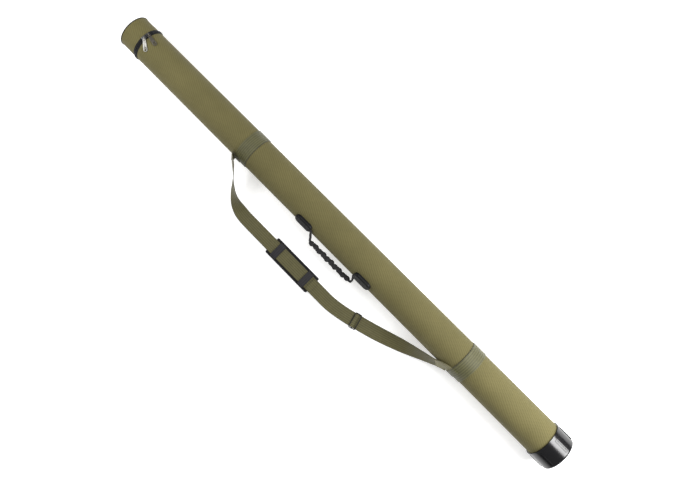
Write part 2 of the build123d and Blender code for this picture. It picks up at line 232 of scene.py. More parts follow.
def clothPaint(name, light, dark, line):
    paint = Paint(name, Roughness=0.8, Sheen_Weight=0.06, Sheen_Roughness=0.4,
                  Specular_IOR_Level=0.3)
    along, around = tubeCoords(paint)
    spot = paint.coord()
    drift = (paint.noise(spot, 35, 3) - 0.5) * 0.004
    slanted = (along + around * 0.9 + drift).wave(0.0042)
    streak = slanted * (along * 0.55 - around + drift).wave(0.0061)
    patch = paint.noise(spot, 14, 4, 0.6)
    colour = paint.mix((patch * 1.5 - 0.25).clamp(), dark, light)
    colour = paint.mix((streak * 0.75).clamp(), colour, line)
    paint.feed("Base Color", colour)
    paint.feed("Roughness", patch * 0.16 + 0.72)
    thread = along.wave(0.0011) * around.wave(0.0011)
    paint.bump(thread * 0.6 + streak * 0.5 + paint.noise(spot, 900, 1) * 0.3, 0.0003, 0.7)
    return paint.mat


# webbing: ribs across its length, fine lines along it, and a dark line painted along each edge as
# shade
def webbingPaint(name, light, dark, width, onTube=False, gloss=0.62):
    paint = Paint(name, Roughness=gloss, Sheen_Weight=0.06, Sheen_Roughness=0.4,
                  Specular_IOR_Level=0.4)
    if onTube:
        across, along = tubeCoords(paint)
        edge = None
    else:
        spot = paint.coord("UV")
        along, across = paint.part(spot, "X"), paint.part(spot, "Y")
        # painted shade: a darker line along each edge of the ribbon
        edge = across.math("ABSOLUTE").above(width / 2 - 0.0011)
    ribs = along.wave(0.0023)
    lines = across.wave(0.0055)
    cloud = paint.noise(paint.coord(), 60, 3, 0.6)
    colour = paint.mix((ribs * 0.25 + lines * 0.55 + cloud * 0.6 - 0.2).clamp(), dark, light)
    if edge:
        colour = paint.mix(edge * 0.55, colour, shade(dark, 0.35))
    paint.feed("Base Color", colour)
    paint.feed("Roughness", cloud * 0.2 + gloss - 0.1)
    paint.bump(ribs * 0.8 + across.wave(0.0012) * ribs * 0.5, 0.00025, 0.8)
    return paint.mat


def plasticPaint(name, colour, gloss, grain=0.2, worn=0.0, specular=0.5):
    paint = Paint(name, Base_Color=colour, Roughness=gloss, Specular_IOR_Level=specular)
    spot = paint.coord()
    smear = paint.noise(spot, 45, 4, 0.65)
    paint.feed("Roughness", (smear - 0.5) * 0.22 + gloss)
    if worn:
        pale = tuple(min(1, c + worn) for c in colour[:3]) + (1,)
        paint.feed("Base Color", paint.mix((smear * 1.6 - 0.6).clamp(), colour, pale))
    paint.bump(paint.noise(spot, 420, 2) * grain, 0.0002, 0.5)
    return paint.mat


def metalPaint(name, colour, gloss, brushed=0.15):
    paint = Paint(name, Base_Color=colour, Metallic=1.0, Roughness=gloss)
    spot = paint.coord()
    rub = paint.noise(spot, 260, 3, 0.6)
    paint.feed("Roughness", rub * brushed + gloss)
    paint.feed("Base Color", paint.mix((rub * 1.4 - 0.35).clamp(), shade(colour, 0.75), colour))
    paint.bump(paint.noise(spot, 700, 2), 0.00008, 0.4)
    return paint.mat


def threadPaint(name, colour):
    paint = Paint(name, Base_Color=colour, Roughness=0.6, Sheen_Weight=0.3)
    spot = paint.coord()
    strand = (paint.part(spot, "X") + paint.part(spot, "Y") + paint.part(spot, "Z")).wave(0.0006)
    paint.feed("Base Color", paint.mix(strand, shade(colour, 0.7), colour))
    paint.bump(strand, 0.0001, 0.6)
    return paint.mat


def foamPaint(name, colour):
    paint = Paint(name, Base_Color=colour, Roughness=0.95, Specular_IOR_Level=0.1)
    spot = paint.coord()
    # the pore hollows are painted darker, as painted shade
    pores = paint.node("TexVoronoi", None, {"Vector": spot, "Scale": 800.0}, out="Distance")
    paint.feed("Base Color", paint.mix(pores.clamp(), shade(colour, 0.4), colour))
    paint.bump(pores, 0.0004, 0.6)
    return paint.mat


sleeveCloth = clothPaint("sleeveCloth", srgb(114, 107, 68), srgb(100, 94, 57), srgb(72, 67, 36))
bandWebbing = webbingPaint("bandWebbing", srgb(100, 98, 64), srgb(62, 61, 37), 0.038, True, 0.5)
strapWebbing = webbingPaint("strapWebbing", srgb(98, 93, 58), srgb(66, 63, 34), 0.038)
# a lighter copy of the strap webbing: painted light on the turned lower tab
tabWebbing = webbingPaint("tabWebbing", srgb(136, 130, 92), srgb(98, 93, 58), 0.038)
blackWebbing = webbingPaint("blackWebbing", srgb(40, 38, 43), srgb(18, 17, 20), 0.019)
gripCord = clothPaint("gripCord", srgb(52, 51, 53), srgb(34, 33, 34), srgb(16, 16, 16))
padCloth = clothPaint("padCloth", srgb(28, 27, 28), srgb(16, 15, 16), srgb(10, 10, 10))
tapeCloth = clothPaint("tapeCloth", srgb(26, 26, 28), srgb(13, 13, 15), srgb(8, 8, 8))
capPlastic = plasticPaint("capPlastic", srgb(12, 12, 14), 0.22, 0.15)
clipPlastic = plasticPaint("clipPlastic", srgb(9, 9, 11), 0.45, 0.4, 0.008, 0.22)
pipePlastic = plasticPaint("pipePlastic", srgb(206, 205, 198), 0.45, 0.2, 0.02)
coilNylon = plasticPaint("coilNylon", srgb(40, 40, 43), 0.3, 0.1)
pipingRubber = plasticPaint("pipingRubber", srgb(20, 20, 21), 0.5, 0.3)
pullSteel = metalPaint("pullSteel", srgb(158, 157, 152), 0.42)
# a darker copy of the pull steel: painted shade on the rear pull
pullDull = metalPaint("pullDull", srgb(122, 117, 108), 0.38)
sliderSteel = metalPaint("sliderSteel", srgb(112, 112, 114), 0.3)
wireBlack = plasticPaint("wireBlack", srgb(24, 23, 22), 0.22, 0.1, 0.04)
rivetMetal = metalPaint("rivetMetal", srgb(170, 170, 170), 0.35)
liningFoam = foamPaint("liningFoam", srgb(60, 60, 62))
creamThread = threadPaint("creamThread", srgb(205, 196, 158))
oliveThread = threadPaint("oliveThread", srgb(96, 92, 58))
darkThread = threadPaint("darkThread", srgb(34, 33, 20))
floorPaint = Paint("floorPaper", Base_Color=(0.9, 0.9, 0.9, 1), Roughness=0.9,
                   Emission_Color=(1, 1, 1, 1), Emission_Strength=0.5)
floorPaint.bump(floorPaint.noise(floorPaint.coord(), 40, 2), 0.0005, 0.1)
print("materials ready")

floorSize = 12
bpy.ops.mesh.primitive_plane_add(size=floorSize, location=(0.75, 0, floorZ))
floor = settle(bpy.context.object)
floor.name = "floor"
floor.data.materials.append(floorPaint.mat)

lights = [{"name": "keyLight", "place": (0.6, -0.9, 2.0), "aim": (0.75, 0, 0),
           "size": 1.5, "power": 21},
          {"name": "fillLight", "place": (0.9, 1.6, 1.9), "aim": (0.75, 0, 0),
           "size": 2.2, "power": 7},
          {"name": "capLight", "place": (-0.26, -0.52, 0.72), "aim": (0.08, 0, 0),
           "size": 0.54, "power": 16},
          {"name": "lidLight", "place": (1.66, 0.2, 0.7), "aim": (1.3, 0, 0),
           "size": 0.22, "power": 3.6}]
for lamp in lights:
    bpy.ops.object.light_add(type="AREA", location=lamp["place"])
    light = bpy.context.object
    light.name = lamp["name"]
    light.data.size, light.data.energy = lamp["size"], lamp["power"]
    towards = Vector(lamp["aim"]) - light.location
    light.rotation_euler = towards.to_track_quat("-Z", "Y").to_euler()
world = bpy.data.worlds.new("world")
world.use_nodes = True
world.node_tree.nodes["Background"].inputs["Color"].default_value = (1, 1, 1, 1)
world.node_tree.nodes["Background"].inputs["Strength"].default_value = 0.3
bpy.context.scene.world = world
bpy.context.scene.view_settings.view_transform = "Standard"
print("camera, floor and light")


# shoulder strap: a flat webbing ribbon along one smooth line

strap = {"width": 0.038, "thick": 0.0016,
         "route": [((1.0670, 0.0635, 0.0180), -20), ((1.0430, 0.0900, 0.0030), -12),
                   ((1.0120, 0.1270, -0.0220), -40), ((0.9720, 0.1438, -0.0405), -80),
                   ((0.9250, 0.1442, -0.04185), -90), ((0.6820, 0.1438, -0.04185), -90),
                   ((0.61689, 0.14385, -0.04625), -90), ((0.50677, 0.11434, -0.04625), -90),
                   ((0.4370, 0.0888, -0.0380), -68), ((0.3860, 0.0676, -0.0150), -42),
                   ((0.3500, 0.0534, 0.0030), -27)]}


# points along a smooth line with these control points
def smoothLine(name, points, resolution=16):
    curve = bpy.data.curves.new(name, "CURVE")
    curve.dimensions = "3D"
    spline = curve.splines.new("NURBS")
    spline.points.add(len(points) - 1)
    for knot, point in zip(spline.points, points):
        knot.co = (*point, 1)
    spline.order_u = 3
    spline.use_endpoint_u = True
    spline.resolution_u = resolution
    holder = bpy.data.objects.new(name, curve)
    bpy.context.collection.objects.link(holder)
    mesh = bpy.data.meshes.new_from_object(holder)
    line = [v.co.copy() for v in mesh.vertices]
    bpy.data.objects.remove(holder)
    return line


def lengths(line):
    total = [0.0]
    for a, b in zip(line, line[1:]):
        total.append(total[-1] + (b - a).length)
    return total


def tangents(line):
    last = len(line) - 1
    return [(line[min(i + 1, last)] - line[max(i - 1, 0)]).normalized() for i in range(len(line))]


# a ribbon of webbing along a line; across gives its width's direction at each point, and curl
# how much it follows the tube's curve there
def ribbon(name, line, across, width, thick, columns=8, curl=None, mat=None):
    rows = len(line)
    bpy.ops.mesh.primitive_grid_add(x_subdivisions=rows - 1, y_subdivisions=columns, size=1)
    obj = bpy.context.object
    obj.name = name
    mesh = obj.data
    run = lengths(line)
    heading = tangents(line)
    uv = mesh.uv_layers.active.data
    cells = []
    for v in mesh.vertices:
        i = round((v.co.x + 0.5) * (rows - 1))
        side = v.co.y * width
        out = heading[i].cross(across[i]).normalized()
        bend = curl[i] if curl else 0
        sag = sleeveR * (1 - cos(side / sleeveR)) * bend
        reach = side * (1 - bend) + sleeveR * sin(side / sleeveR) * bend
        cells.append((run[i], side))
        v.co = line[i] + across[i] * reach - out * sag
    for loop in mesh.loops:
        uv[loop.index].uv = cells[loop.vertex_index]
    solid = obj.modifiers.new("thickness", "SOLIDIFY")
    solid.thickness, solid.offset = thick, 0
    bevel = obj.modifiers.new("edge", "BEVEL")
    bevel.width, bevel.segments, bevel.limit_method = thick * 0.3, 2, "ANGLE"
    applyAll(obj)
    smooth(obj, 50)
    if mat:
        obj.data.materials.append(mat)
    return obj


# the strap's lean, in degrees, at a share of the way along its route
def leanAt(share):
    knots = [Vector(p) for p, lean in strap["route"]]
    marks = lengths(knots)
    for i in range(len(knots) - 1):
        if share * marks[-1] <= marks[i + 1] + 1e-9:
            k = (share * marks[-1] - marks[i]) / (marks[i + 1] - marks[i])
            return strap["route"][i][1] * (1 - k) + strap["route"][i + 1][1] * k
    return strap["route"][-1][1]


# the direction across the strap, from level towards upright
def widthAt(along, lean):
    upright = (Vector((0, 0, 1)) - along * along.z).normalized()
    return upright * cos(radians(lean)) + along.cross(upright) * sin(radians(lean))


strapLine = smoothLine("strapLine", [p for p, lean in strap["route"]])
strapRun = lengths(strapLine)
strapHeading = tangents(strapLine)
strapWidths = [widthAt(t, leanAt(s / strapRun[-1])) for t, s in zip(strapHeading, strapRun)]
strapPiece = ribbon("shoulder_strap", strapLine, strapWidths, strap["width"], strap["thick"],
                    mat=strapWebbing)
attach(strapPiece, "case")
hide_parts("strap_upper", "strap_lower")
print("shoulder strap", round(strapRun[-1], 4))


# the strap's end, turned back at the triglide and sewn down by the pad

tail = {"lift": 0.0017, "length": 0.157, "middle": 0.557, "width": 0.0374, "thick": 0.0015,
        "edgeAt": 0.0012, "rowsAt": (0.0036, 0.0165), "sideRows": (0.004, 0.016),
        "sideReach": 0.0155}
glideAt = min(range(len(strapLine)), key=lambda i: abs(strapLine[i].x - tail["middle"]))
tailRows = [i for i in range(len(strapLine))
            if strapRun[glideAt] - tail["length"] <= strapRun[i] <= strapRun[glideAt]]
tailLine = [strapLine[i] + Vector((0, 0, tail["lift"])) for i in tailRows]
tailWidths = [strapWidths[i] for i in tailRows]
tailPiece = ribbon("strap_end", tailLine, tailWidths, tail["width"], tail["thick"],
                   mat=strapWebbing)
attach(tailPiece, "case")
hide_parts("strap_tail")
print("strap end")


# the strap's two sewn ends, from under the bands to where the strap starts

# fold and hook are the places each line passes: how far past the band's edge, and off the tube
anchors = {"angle": 22.0, "radius": sleeveR + 0.0009, "thick": 0.0016, "under": 0.004,
           "fold": [(0.001, 0.0), (0.006, 0.0003), (0.0075, 0.0025), (0.004, 0.0065),
                    (-0.003, 0.0115)], "foldFlat": 0.014,
           "hook": [(0.014, 0.0015), (0.004, 0.0)], "hookFlat": 0.007, "hookWidth": 0.0386,
           "hookThick": 1.3, "hookRows": (0.0022, 0.0055),
           "upperEdge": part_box("upper_band")[1][0], "lowerEdge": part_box("lower_band")[1][0]}
anchorOut = Vector((0, cos(radians(anchors["angle"])), sin(radians(anchors["angle"]))))
anchorRound = Vector((0, -anchorOut.z, anchorOut.y))


def anchorSpot(x, lift=0.0):
    return Vector((x, 0, 0)) + anchorOut * (anchors["radius"] + lift)


# width directions that turn from one to another once the line has left the tube
def turningWidths(line, first, last, start):
    run = lengths(line)
    found = []
    for t, s in zip(tangents(line), run):
        k = max(0.0, s - start) / (run[-1] - start)
        k = k * k * (3 - 2 * k)
        wide = first * (1 - k) + last * k
        found.append((wide - t * wide.dot(t)).normalized())
    return found, [max(0.0, 1 - max(0.0, s - start * 0.6) / (0.5 * (run[-1] - start))) for s in run]


upperEdge = anchors["upperEdge"]
foldPoints = [anchorSpot(upperEdge - anchors["under"])]
foldPoints += [anchorSpot(upperEdge + past, lift) for past, lift in anchors["fold"]]
foldPoints += [strapLine[0] - strapHeading[0] * 0.006, strapLine[0] + strapHeading[0] * 0.001]
foldLine = smoothLine("foldLine", foldPoints)
foldWidths, foldCurl = turningWidths(foldLine, anchorRound, strapWidths[0], anchors["foldFlat"])
foldPiece = ribbon("strap_fold_upper", foldLine, foldWidths, strap["width"], anchors["thick"],
                   curl=foldCurl, mat=strapWebbing)
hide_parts("strap_anchor_upper")

lowerEdge = anchors["lowerEdge"]
hookPoints = [strapLine[-1] - strapHeading[-1] * 0.001, strapLine[-1] + strapHeading[-1] * 0.009]
hookPoints += [anchorSpot(lowerEdge + past, lift) for past, lift in anchors["hook"]]
hookPoints.append(anchorSpot(lowerEdge - anchors["under"]))
hookLine = smoothLine("hookLine", hookPoints)
hookSide = anchorRound if anchorRound.dot(strapWidths[-1]) > 0 else -anchorRound
hookWidths, hookCurl = turningWidths(hookLine[::-1], hookSide, strapWidths[-1],
                                     anchors["hookFlat"])
hookWidths, hookCurl = hookWidths[::-1], hookCurl[::-1]
# the lower tab takes the lighter webbing copy, as painted light
hookPiece = ribbon("strap_tab_lower", hookLine, hookWidths, anchors["hookWidth"],
                   anchors["thick"] * anchors["hookThick"], curl=hookCurl, mat=tabWebbing)
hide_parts("strap_anchor_lower")
for piece in (foldPiece, hookPiece):
    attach(piece, "case")
print("sewn strap ends")


# rows of stitches: one thread stitch modelled once and copied along a line

def stitchModel(length, thick):
    bpy.ops.mesh.primitive_uv_sphere_add(segments=8, ring_count=6, radius=0.5)
    one = bpy.context.object
    one.scale = (length, thick, thick * 0.7)
    return settle(one)


# spots is a list of (place, direction of the stitch, direction away from the cloth)
def stitchRow(name, spots, body, mat, length=0.0021, thick=0.0006):
    one = stitchModel(length, thick)
    made = []
    for place, heading, away in spots:
        side = away.cross(heading).normalized()
        turn = Matrix((heading.normalized(), side, heading.normalized().cross(side))).transposed()
        made.append(copyOf(one, Matrix.Translation(place) @ turn.to_4x4()))
    bpy.data.objects.remove(one)
    row = join(name, made)
    row.data.materials.clear()
    row.data.materials.append(mat)
    smooth(row)
    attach(row, body)
    return row


# round the tube at one place along it
def ringSpots(x, radius, pitch, start=0.0, sweep=360.0):
    count = int(radians(sweep) * radius / pitch)
    found = []
    for i in range(count):
        a = radians(start) + radians(sweep) * (i + 0.5) / count
        found.append((Vector((x, radius * cos(a), radius * sin(a))), Vector((0, -sin(a), cos(a))),
                      Vector((0, cos(a), sin(a)))))
    return found


# skip is the angle that each strap end covers, where the row isn't seen
bandRows = {"inset": 0.0022, "pitch": 0.0036, "clear": 2,
            "skip": {"upper_band": 50, "lower_band": 46}}
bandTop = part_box("lower_band")[1][2] - 0.00025
for bandName, skip in bandRows["skip"].items():
    low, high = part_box(bandName)
    start = anchors["angle"] + skip / 2 + bandRows["clear"]
    sweep = 360 - skip - 2 * bandRows["clear"]
    rows = {"lid_side": high[0] - bandRows["inset"], "cap_side": low[0] + bandRows["inset"]}
    for place, x in rows.items():
        # the cap-side rows are cream thread, partly as a painted highlight line along that band
        # edge
        row = stitchRow(f"{bandName}_stitches_{place}",
                        ringSpots(x, bandTop, bandRows["pitch"], start, sweep),
                        "case", creamThread if place == "cap_side" else oliveThread)


# across a ribbon, at one length along it
def crossSpots(line, widths, at, width, lift, pitch=0.0032, reach=0.44):
    run = lengths(line)
    i = min(range(len(run)), key=lambda n: abs(run[n] - at))
    out = tangents(line)[i].cross(widths[i]).normalized()
    count = int(width * 2 * reach / pitch)
    found = []
    for n in range(count):
        across = widths[i] * width * reach * (2 * (n + 0.5) / count - 1)
        found.append((line[i] + across + out * lift, widths[i], out))
    return found


# along a ribbon, at one distance from its middle
def alongSpots(line, widths, start, end, side, lift, pitch=0.0034):
    run = lengths(line)
    found = []
    at = start
    while at < end:
        i = max(n for n in range(len(run)) if run[n] <= at)
        j = min(i + 1, len(run) - 1)
        k = (at - run[i]) / max(run[j] - run[i], 1e-9)
        heading = tangents(line)[i]
        out = heading.cross(widths[i]).normalized()
        place = line[i].lerp(line[j], k) + widths[i] * side + out * lift
        found.append((place, heading, out))
        at += pitch
    return found


# the side of the webbing that faces up carries the stitches
def facing(line, widths, row):
    return 1 if tangents(line)[row].cross(widths[row]).z > 0 else -1


proud = 0.0001
tailLift = facing(tailLine, tailWidths, 0) * (tail["thick"] / 2 + proud)
edgeSpots = crossSpots(tailLine, tailWidths, tail["edgeAt"], tail["width"], tailLift)
tailEdge = stitchRow("strap_end_edge", edgeSpots, "case", creamThread, 0.0028, 0.0007)
tailSpots = []
for at in tail["rowsAt"]:
    tailSpots += crossSpots(tailLine, tailWidths, at, tail["width"], tailLift)
for side in (-tail["sideReach"], tail["sideReach"]):
    tailSpots += alongSpots(tailLine, tailWidths, *tail["sideRows"], side, tailLift)
# the dark rows are stitches that also stand in for the shade line beside the strap's end: partly
# painted shade
tailStitches = stitchRow("strap_end_stitches", tailSpots, "case", darkThread, 0.0030, 0.0008)

hookLift = facing(hookLine, hookWidths, 8) * (anchors["thick"] * anchors["hookThick"] / 2 + proud)
hookSpots = []
for at in anchors["hookRows"]:
    hookSpots += crossSpots(hookLine, hookWidths, at, strap["width"], hookLift)
hookStitches = stitchRow("strap_tab_stitches", hookSpots, "case", creamThread, 0.0024, 0.0007)

# a painted dark ring round the tube beside each band, standing in for the shade line at the band's
# edge
shadeRingShape = {"lift": 0.0011, "radius": 0.0006}
shadeRingSides = {"lower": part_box("lower_band")[1][0], "upper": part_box("upper_band")[0][0]}
for bandName, edgeX in shadeRingSides.items():
    bpy.ops.mesh.primitive_torus_add(major_radius=sleeveR + shadeRingShape["lift"],
                                     minor_radius=shadeRingShape["radius"], major_segments=96,
                                     minor_segments=8, location=(edgeX, 0, 0),
                                     rotation=(0, radians(90), 0))
    shadeRing = smooth(settle(bpy.context.object), 60)
    shadeRing.name = bandName + "_band_edging"
    shadeRing.data.materials.append(darkThread)
    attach(shadeRing, "case")
print("stitching")


# shoulder pad: soft block blown up a little, bound round its edge, with two cross loops

pad = {"body": (0.150, 0.0475, 0.0052), "bodyRise": 0.0033, "corner": 0.0022, "voxel": 0.002,
       "pressure": 4.0, "steps": 12, "cap": 0.0011, "binding": 0.0021,
       "bindingSize": (0.150, 0.0480, 1), "bindingRise": 0.0035, "bindingCorner": 0.002,
       "bindingTall": 1.45, "loopWidth": 0.019, "loopThick": 0.0013, "loopRise": 0.0012}
padLow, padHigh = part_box("shoulder_pad")
padMiddle = (Vector(padLow) + Vector(padHigh)) / 2

bpy.ops.mesh.primitive_cube_add(size=1, location=(padMiddle.x, padMiddle.y,
                                                 padLow[2] + pad["bodyRise"]))
padPiece = bpy.context.object
padPiece.name = "shoulder_pad_cloth"
padPiece.scale = pad["body"]
settle(padPiece)
corner = padPiece.modifiers.new("corner", "BEVEL")
corner.width, corner.segments = pad["corner"], 3
applyAll(padPiece)
remesh = padPiece.modifiers.new("remesh", "REMESH")
remesh.mode, remesh.voxel_size = "VOXEL", pad["voxel"]
applyAll(padPiece)
before = [v.co.copy() for v in padPiece.data.vertices]
cloth = padPiece.modifiers.new("cloth", "CLOTH")
cloth.settings.use_pressure = True
cloth.settings.uniform_pressure_force = pad["pressure"]
cloth.settings.effector_weights.gravity = 0
scene = bpy.context.scene
for step in range(1, pad["steps"] + 1):
    scene.frame_set(step)
swollen = padPiece.evaluated_get(bpy.context.evaluated_depsgraph_get()).data
after = [v.co.copy() for v in swollen.vertices]
padPiece.modifiers.remove(cloth)
scene.frame_set(1)
for v, a, b in zip(padPiece.data.vertices, before, after):
    move = b - a
    if move.length > pad["cap"]:
        move *= pad["cap"] / move.length
    v.co = a + move
    v.co.z = min(max(v.co.z, padLow[2] + 0.0002), padHigh[2] - 0.0004)
smooth(padPiece, 60)
padPiece.data.materials.clear()
padPiece.data.materials.append(padCloth)
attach(padPiece, "pad")
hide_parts("shoulder_pad")
print("shoulder pad cloth")

# folded tape round the pad's edge
bindingZ = padLow[2] + pad["bindingRise"]
bpy.ops.mesh.primitive_plane_add(size=1, location=(padMiddle.x, padMiddle.y, bindingZ))
binding = bpy.context.object
binding.name = "pad_binding"
binding.scale = pad["bindingSize"]
settle(binding)
only(binding)
bpy.ops.object.mode_set(mode="EDIT")
bpy.ops.mesh.select_all(action="SELECT")
bpy.ops.mesh.bevel(offset=pad["bindingCorner"], segments=5, affect="VERTICES")
bpy.ops.mesh.delete(type="ONLY_FACE")
bpy.ops.object.mode_set(mode="OBJECT")
bpy.ops.object.convert(target="CURVE")
binding = bpy.context.object
binding.data.bevel_depth, binding.data.bevel_resolution = pad["binding"], 3
binding.data.dimensions = "3D"
bpy.ops.object.convert(target="MESH")
binding = bpy.context.object
for v in binding.data.vertices:
    v.co.z = bindingZ + (v.co.z - bindingZ) * pad["bindingTall"]
fixNormals(binding)
smooth(binding, 60)
binding.data.materials.append(blackWebbing)
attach(binding, "pad")

# each loop goes up over the strap and back down to the pad's edges
for loopName in ("pad_loop_upper", "pad_loop_lower"):
    low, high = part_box(loopName)
    middle = (low[0] + high[0]) / 2
    crest = high[2] - 0.0004
    side = high[1] - padMiddle.y + 0.0008
    half = [(side + 0.0012, padHigh[2] - 0.0032), (side, padHigh[2] - 0.0008),
            (side - 0.0018, crest), (side * 0.5, crest + 0.0004)]
    loopPoints = [(middle, padMiddle.y - reach, z) for reach, z in half]
    loopPoints.append((middle, padMiddle.y, crest + pad["loopRise"] * 0.4))
    loopPoints += [(middle, padMiddle.y + reach, z) for reach, z in reversed(half)]
    loopLine = smoothLine(loopName, loopPoints, 8)
    loopPiece = ribbon(loopName + "_webbing", loopLine, [Vector((1, 0, 0))] * len(loopLine),
                       pad["loopWidth"], pad["loopThick"], 6, mat=blackWebbing)
    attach(loopPiece, "pad")
    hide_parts(loopName)
print("pad binding and loops")


# zip: two rows of coil turns, one turn modelled once and copied round

zipper = {"pitch": 0.0016, "turnWide": 0.0027, "turnTall": 0.0012, "turnThick": 0.00095,
          "turnEdge": 0.00022, "start": -50, "sweep": 280, "stopSweep": 2.4}
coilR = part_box("zip_coil_case")[1][2] - zipper["turnTall"] * 0.5
bpy.ops.mesh.primitive_cylinder_add(vertices=8, radius=0.5, depth=1, rotation=(0, radians(90), 0))
turn = bpy.context.object
turn.scale = (zipper["turnWide"], zipper["turnThick"], zipper["turnTall"])
settle(turn)
only(turn)
bpy.ops.object.mode_set(mode="EDIT")
bpy.ops.mesh.select_all(action="SELECT")
bpy.ops.mesh.bevel(offset=zipper["turnEdge"], segments=1, affect="EDGES")
bpy.ops.object.mode_set(mode="OBJECT")
for coilName, body in (("zip_coil_case", "case"), ("zip_coil_lid", "lid")):
    low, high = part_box(coilName)
    middle = (low[0] + high[0]) / 2
    made = []
    start = zipper["start"] + zipper["stopSweep"]
    sweep = zipper["sweep"] - 2 * zipper["stopSweep"]
    count = int(radians(sweep) * coilR / zipper["pitch"])
    # the two rows mesh, half a turn apart
    shift = 0.5 if body == "case" else 0.0
    for i in range(count):
        a = radians(start + sweep * (i + shift) / count)
        made.append(copyOf(turn, Matrix.Translation((middle, coilR * cos(a), coilR * sin(a)))
                           @ Matrix.Rotation(a - pi / 2, 4, "X")))
    coil = join(coilName + "_turns", made)
    smooth(coil, 40)
    coil.data.materials.append(coilNylon)
    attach(coil, body)
    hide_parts(coilName)
bpy.data.objects.remove(turn)
print("zip coils")


# zip pulls: flat cast tabs that widen to a slotted end

pullShape = {"length": 0.037, "neck": 0.0040, "head": 0.0062, "wide": 0.0055, "thick": 0.0014,
             "slotLong": 0.0100, "slotWide": 0.0050, "slotMiddle": 0.0298,
             "eye": (0.0033, 0.0032), "rimWide": 0.0026, "rimGap": 0.0006,
             "tongue": (0.0072, 0.0017), "tongueBack": 0.0022,
             "ring": 0.00195, "ringThick": 0.0008, "ringTall": 1.7,
             "joinAt": 0.0036, "join": (0.0034, 0.0030, 0.0012), "joinEdge": 0.0003,
             "dips": {"pull_front_swing": 13.5, "pull_rear_swing": 6.5}}


# a plate cut out by flat outlines, with rounded edges
def plate(name, outlines, thick, edge):
    curve = bpy.data.curves.new(name, "CURVE")
    curve.dimensions, curve.fill_mode = "2D", "BOTH"
    for outline in outlines:
        spline = curve.splines.new("POLY")
        spline.points.add(len(outline) - 1)
        for knot, (x, y) in zip(spline.points, outline):
            knot.co = (x, y, 0, 1)
        spline.use_cyclic_u = True
    curve.extrude, curve.bevel_depth, curve.bevel_resolution = thick / 2 - edge, edge, 2
    curve.offset = -edge
    obj = bpy.data.objects.new(name, curve)
    bpy.context.collection.objects.link(obj)
    only(obj)
    bpy.ops.object.convert(target="MESH")
    obj = bpy.context.object
    fixNormals(obj, 0.000005)
    return smooth(obj, 35)


def slotOutline(middle, long, wide, steps=10):
    r = wide / 2
    reach = long / 2 - r
    found = []
    for end, start in ((1, -90), (-1, 90)):
        for i in range(steps + 1):
            a = radians(start + 180 * i / steps)
            found.append((middle + end * reach + r * cos(a), r * sin(a)))
    return found


def pullOutline(steps=14):
    long, neck, wide, head = (pullShape[part] for part in ("length", "neck", "wide", "head"))
    upper = []
    for i in range(steps + 1):
        k = i / steps
        swell = (k * k * (3 - 2 * k)) ** 0.7
        upper.append((head + (long - wide - head) * k, neck + (wide - neck) * swell))
    for i in range(1, steps):
        a = radians(90 - 180 * i / steps)
        upper.append((long - wide + wide * cos(a), wide * sin(a)))
    lower = [(x, -y) for x, y in reversed(upper[:steps + 1])]
    for i in range(1, steps):
        a = radians(-90 - 180 * i / steps)
        lower.append((head + neck * cos(a), neck * sin(a)))
    return upper + lower


pullNodes = {"pull_front_swing": "zip_pull_front", "pull_rear_swing": "zip_pull_rear"}
for jointName, node in pullNodes.items():
    pivot = Vector(joints[jointName]["pos_m"])
    side = -Vector(joints[jointName]["axis"]).normalized()
    out = Vector((0, pivot.y, pivot.z)).normalized()
    level = side.cross(out).normalized()
    dip = radians(pullShape["dips"][jointName])
    heading = level * cos(dip) - out * sin(dip)
    away = heading.cross(side)
    slotAt, thick = pullShape["slotMiddle"], pullShape["thick"]
    slotLong, slotWide = pullShape["slotLong"], pullShape["slotWide"]
    rimWide, rimGap = pullShape["rimWide"], pullShape["rimGap"]
    tab = plate(node + "_tab", [pullOutline(), slotOutline(slotAt, slotLong, slotWide),
                                slotOutline(pullShape["head"], *pullShape["eye"])], thick, 0.0003)
    rim = plate(node + "_rim", [slotOutline(slotAt, slotLong + rimWide, slotWide + rimWide),
                                slotOutline(slotAt, slotLong + rimGap, slotWide + rimGap)],
                thick + 0.0006, 0.0002)
    ridge = plate(node + "_tongue", [slotOutline(slotAt - pullShape["tongueBack"],
                                                 *pullShape["tongue"])], thick, 0.0002)
    bpy.ops.mesh.primitive_torus_add(major_radius=pullShape["ring"],
                                     minor_radius=pullShape["ringThick"], major_segments=24,
                                     minor_segments=10, rotation=(radians(90), 0, 0))
    ringPart = bpy.context.object
    ringPart.scale = (1, 1, pullShape["ringTall"])
    settle(ringPart)
    bpy.ops.mesh.primitive_cube_add(size=1, location=(pullShape["joinAt"], 0, 0))
    neckPart = bpy.context.object
    neckPart.scale = pullShape["join"]
    settle(neckPart)
    bevel = neckPart.modifiers.new("edge", "BEVEL")
    bevel.width, bevel.segments = pullShape["joinEdge"], 2
    applyAll(neckPart)
    pull = join(node + "_cast", [tab, rim, ridge, ringPart, neckPart])
    turned = Matrix((heading, side, away)).transposed().to_4x4()
    pull.data.transform(Matrix.Translation(pivot) @ turned)
    smooth(pull, 35)
    pull.data.materials.clear()
    # the rear pull gets the darker steel copy, as painted shade
    pull.data.materials.append(pullSteel if node == "zip_pull_front" else pullDull)
    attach(pull, "pull_front" if node == "zip_pull_front" else "pull_rear")
    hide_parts(node)
print("zip pulls")


# carry handle: plaited grip between two webbing tails that turn in the clips

